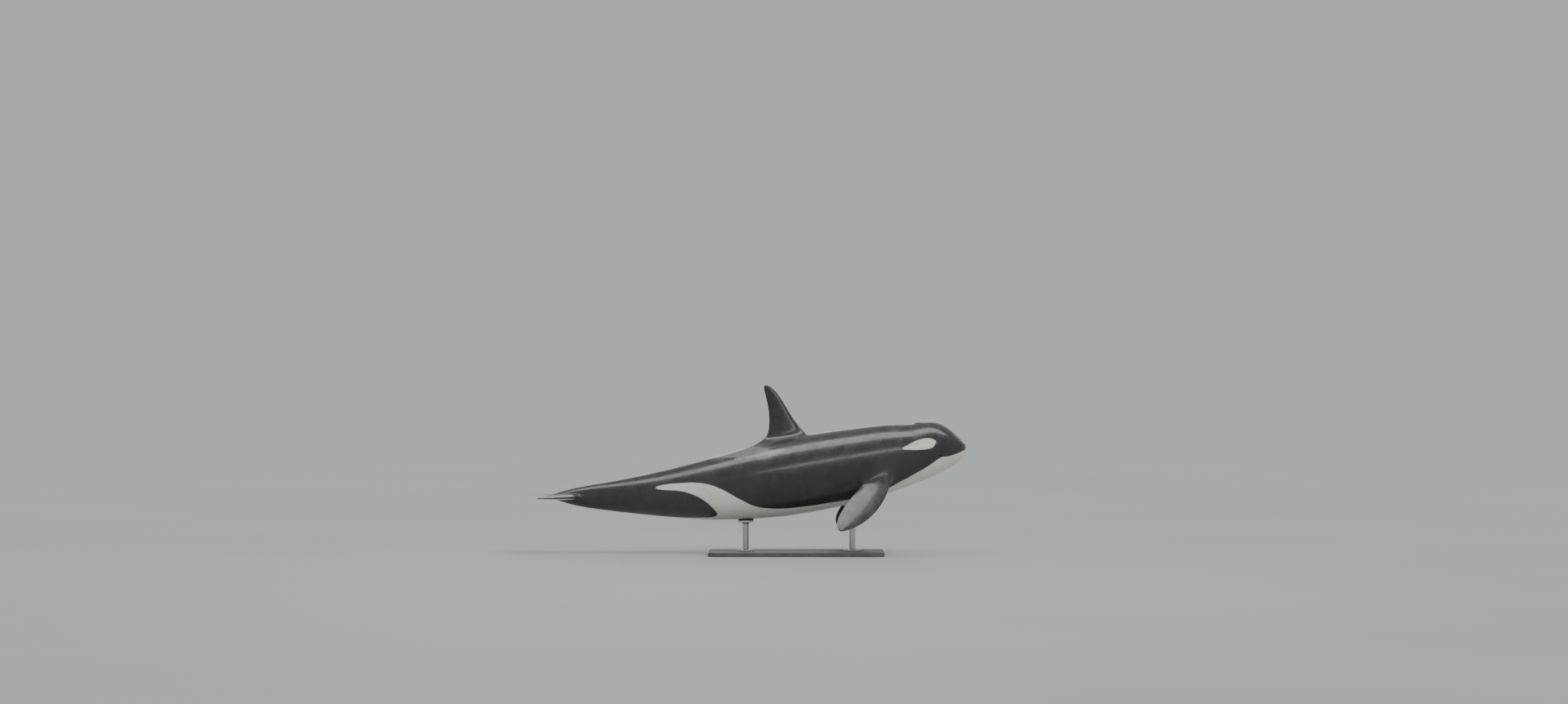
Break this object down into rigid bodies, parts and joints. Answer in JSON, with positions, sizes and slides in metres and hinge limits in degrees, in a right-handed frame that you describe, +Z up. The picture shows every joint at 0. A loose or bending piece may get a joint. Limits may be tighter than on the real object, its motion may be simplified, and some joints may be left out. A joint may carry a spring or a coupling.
{
  "type": "life-size orca model on a display stand",
  "caption": "Still, life-size model of an orca coming up head first, held over a flat base by short rods.",
  "frame": {"origin": "middle of the flat underside of the stand's base", "axes": "+X towards the head, +Y towards the animal's left side, +Z up"},
  "size_m": [6.0893, 1.914, 2.4246],
  "materials": {
    "skin": "smooth wet skin, black with white and grey markings",
    "eye": "dark, moist",
    "base_paint": "matt charcoal paint",
    "stand_steel": "brushed"
  },
  "bodies": {
    "root": {"head": "skin", "lower_jaw": "skin", "neck": "skin", "chest": "skin", "midbody": "skin", "loin": "skin", "tail_stock": "skin", "tail_end": "skin", "dorsal_fin": "skin", "flipper_left": "skin", "flipper_right": "skin", "fluke_left": "skin", "fluke_right": "skin", "eye_left": "eye", "eye_right": "eye", "stand_base": "base_paint", "stand_flange_front": "stand_steel", "stand_flange_rear": "stand_steel", "stand_rod_front": "stand_steel", "stand_rod_rear": "stand_steel"}
  },
  "joints": []
}
